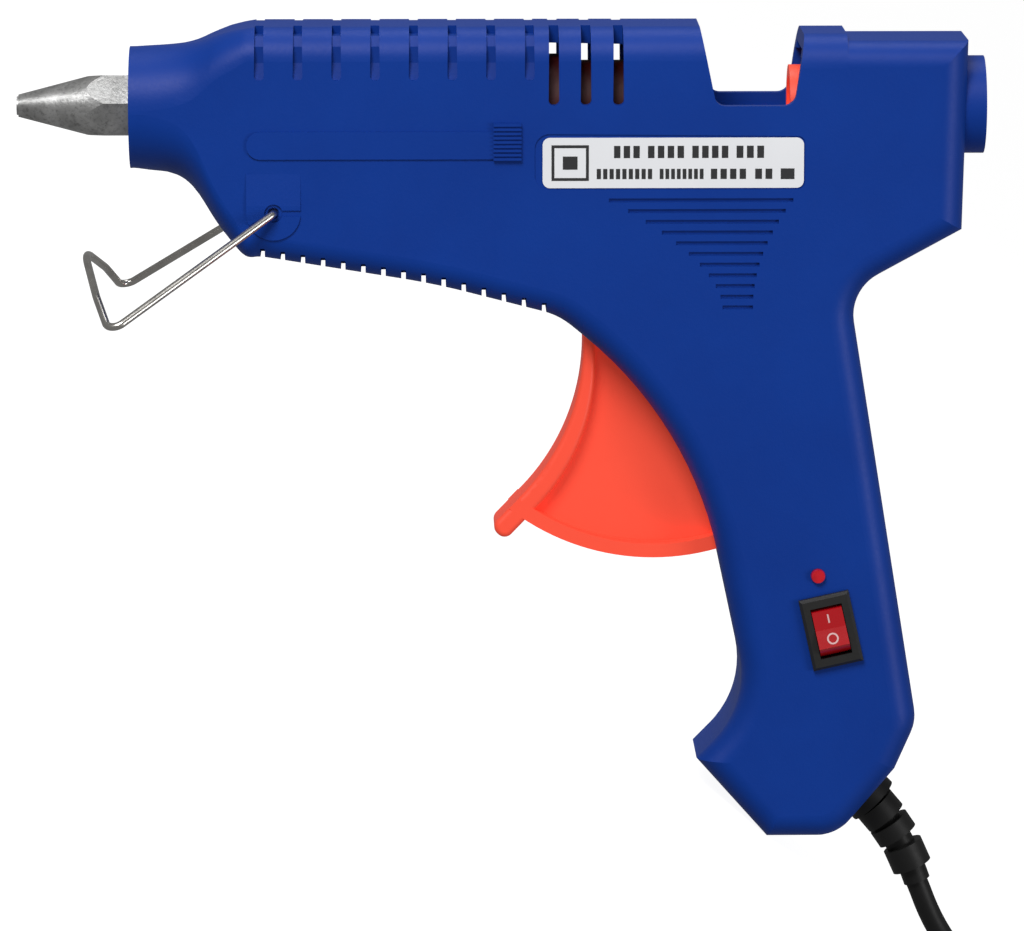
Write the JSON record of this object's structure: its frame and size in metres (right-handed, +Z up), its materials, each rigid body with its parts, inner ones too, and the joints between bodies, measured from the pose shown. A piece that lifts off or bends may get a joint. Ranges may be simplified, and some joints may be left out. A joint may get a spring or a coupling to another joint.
{
  "type": "glue gun",
  "caption": "Hot-melt glue gun standing on its folding wire stand and grip, with a hinged trigger feeding the stick, a rocker switch and a coiled mains cord with plug.",
  "frame": {"origin": "on the table, under the middle of the gun's length, without its cord", "axes": "+Z up from the table, +X from the nozzle towards the grip and cord, +Y away from the labelled side"},
  "size_m": [0.4226, 0.0696, 0.1536],
  "materials": {
    "casing_blue": "fine matte texture, moulded ABS",
    "trigger_orange": "satin moulded nylon",
    "black_plastic": "satin",
    "rocker_red": "glossy",
    "lamp_red": "clear red",
    "label_grey": "printed silver-grey film",
    "cast_metal": "cast zinc alloy, slightly pitted",
    "chamber_metal": "cast",
    "silicone_red": "matte silicone",
    "seal_white": "matte",
    "bright_steel": "nickel-plated",
    "wire_chrome": "bright",
    "white_nylon": "satin",
    "ceramic_white": "matte ceramic",
    "fibre_cream": "woven glass fibre",
    "board_green": "solder mask",
    "brass_blade": "plain",
    "lead_blue": "insulation",
    "cord_black": "matte PVC"
  },
  "bodies": {
    "casing": {"left_shell": "casing_blue", "right_shell": "casing_blue", "housing_screws": "bright_steel", "nozzle": "cast_metal", "nozzle_seal": "silicone_red", "check_spring": "bright_steel", "heating_chamber": "chamber_metal", "front_support": "ceramic_white", "rear_support": "ceramic_white", "chamber_wrap": "fibre_cream", "silicone_sleeve": "silicone_red", "sleeve_clip": "bright_steel", "thermal_fuse": "bright_steel", "inlet_collar": "casing_blue", "trigger_pin": "bright_steel", "return_spring": "bright_steel", "switch_housing": "black_plastic", "switch_terminals": "brass_blade", "led_lens": "lamp_red", "led_board": "board_green", "heater_leads": "lead_blue", "switch_leads": "lead_blue", "ptc_heater": "ceramic_white", "heater_clamp": "chamber_metal", "clamp_screws": "bright_steel", "cord_clamp": "black_plastic", "cord_clamp_screws": "bright_steel", "rating_label": "label_grey", "strain_relief": "cord_black", "cord_lead": "cord_black", "cord_coil": "cord_black", "cord_tie": "black_plastic", "cord_tail": "cord_black", "plug_body": "cord_black", "plug_pins": "bright_steel"},
    "trigger": {"trigger": "trigger_orange", "drive_pin": "bright_steel"},
    "carriage": {"carriage": "trigger_orange", "jaw_pin": "bright_steel"},
    "jaw": {"grip_jaw": "bright_steel"},
    "stand": {"stand_wire": "wire_chrome"},
    "rocker": {"rocker": "rocker_red"},
    "check_ball": {"check_ball": "bright_steel"}
  },
  "joints": [
    {"name": "trigger_pull", "type": "hinge", "parent": "casing", "child": "trigger", "pos_m": [0.00606, 0, 0.06739], "axis": [0, -1, 0], "range_deg": [0, 28], "stiffness_Nm_per_rad": 0.3, "springref_deg": -14.32},
    {"name": "carriage_feed", "type": "slide", "parent": "casing", "child": "carriage", "axis": [-0.7767, 0, -0.6299], "range_m": [0, 0.0158], "deforming": ["return_spring"]},
    {"name": "jaw_tilt", "type": "hinge", "parent": "carriage", "child": "jaw", "pos_m": [0.01273, 0, 0.11361], "axis": [0, 1, 0], "range_deg": [0, 6.3]},
    {"name": "stand_fold", "type": "hinge", "parent": "casing", "child": "stand", "pos_m": [-0.06985, 0, 0.03763], "axis": [0, -1, 0], "range_deg": [0, 136]},
    {"name": "rocker_switch", "type": "hinge", "parent": "casing", "child": "rocker", "pos_m": [0.07318, -0.013, 0.04225], "axis": [0.6206, 0, 0.7841], "range_deg": [0, 26]},
    {"name": "check_ball_lift", "type": "slide", "parent": "casing", "child": "check_ball", "axis": [0.7767, 0, 0.6299], "range_m": [0, 0.0012], "stiffness_N_per_m": 80, "springref_m": -0.001, "deforming": ["check_spring"]}
  ],
  "couplings": [
    {"joint": "carriage_feed", "follows": "trigger_pull", "m_per_rad": 0.031683},
    {"joint": "jaw_tilt", "follows": "trigger_pull", "ratio": 0.21429}
  ]
}
